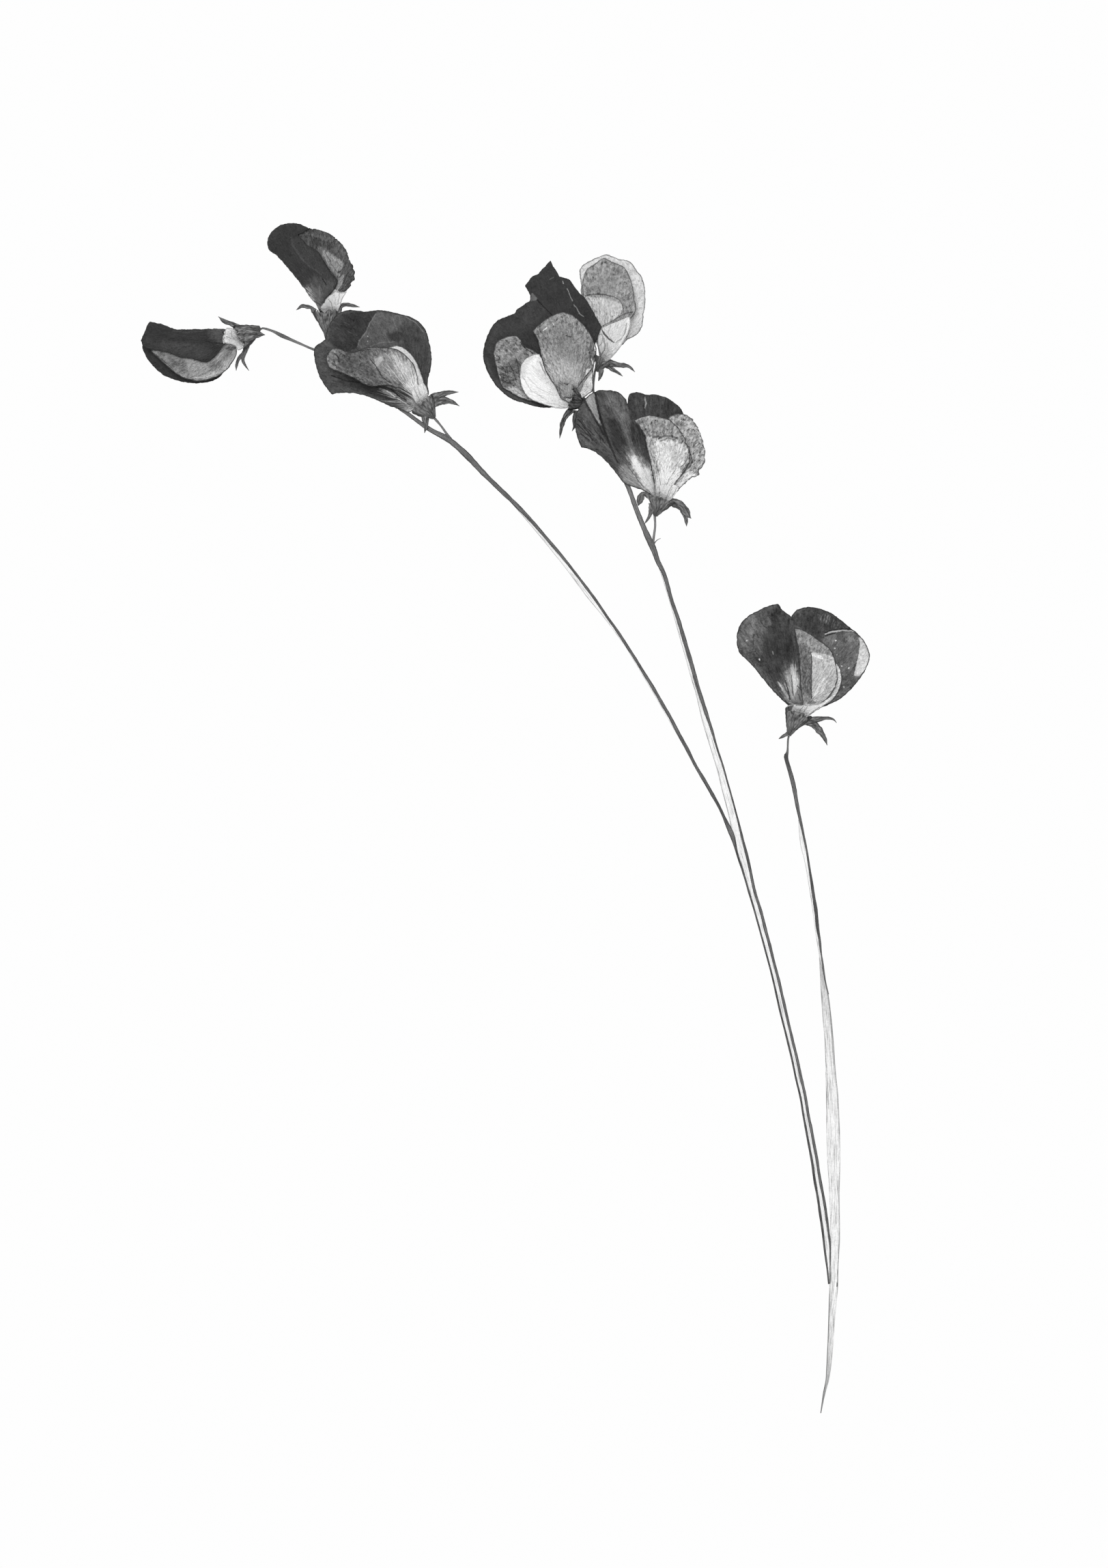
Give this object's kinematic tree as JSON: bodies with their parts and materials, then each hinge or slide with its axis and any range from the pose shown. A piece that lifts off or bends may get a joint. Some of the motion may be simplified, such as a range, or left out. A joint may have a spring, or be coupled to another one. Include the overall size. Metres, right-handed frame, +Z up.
{
  "type": "pressed sweet pea spray",
  "caption": "Pressed and dried spray of sweet pea: seven two-lobed blooms on three thin stalks that join at the bottom, lying flat.",
  "frame": {"origin": "bottom centre of the bounding box, on the plane the spray lies on", "axes": "+Y along the stalks towards the blooms, the longest extent; +Z up out of the plane it lies on, the shortest extent"},
  "size_m": [0.1709, 0.2784, 0.008],
  "materials": {
    "standard": "matte",
    "standard_pale": "matte",
    "wing": "matte",
    "keel": "matte",
    "calyx": "matte",
    "stalk": "matte"
  },
  "bodies": {
    "root": {"stalks": "stalk", "standard_a": "standard", "wing_back_a": "wing", "keel_a": "keel", "wing_front_a": "wing", "calyx_a": "calyx", "standard_b": "standard", "wing_back_b": "wing", "keel_b": "keel", "wing_front_b": "wing", "calyx_b": "calyx", "standard_c": "standard", "wing_back_c": "wing", "keel_c": "keel", "wing_front_c": "wing", "calyx_c": "calyx", "standard_d": "standard", "wing_back_d": "wing", "keel_d": "keel", "wing_front_d": "wing", "calyx_d": "calyx", "standard_e": "standard_pale", "wing_back_e": "wing", "keel_e": "keel", "wing_front_e": "wing", "calyx_e": "calyx", "standard_f": "standard", "wing_back_f": "wing", "keel_f": "keel", "wing_front_f": "wing", "calyx_f": "calyx", "standard_g": "standard", "wing_back_g": "wing", "keel_g": "keel", "wing_front_g": "wing", "calyx_g": "calyx"}
  },
  "joints": []
}
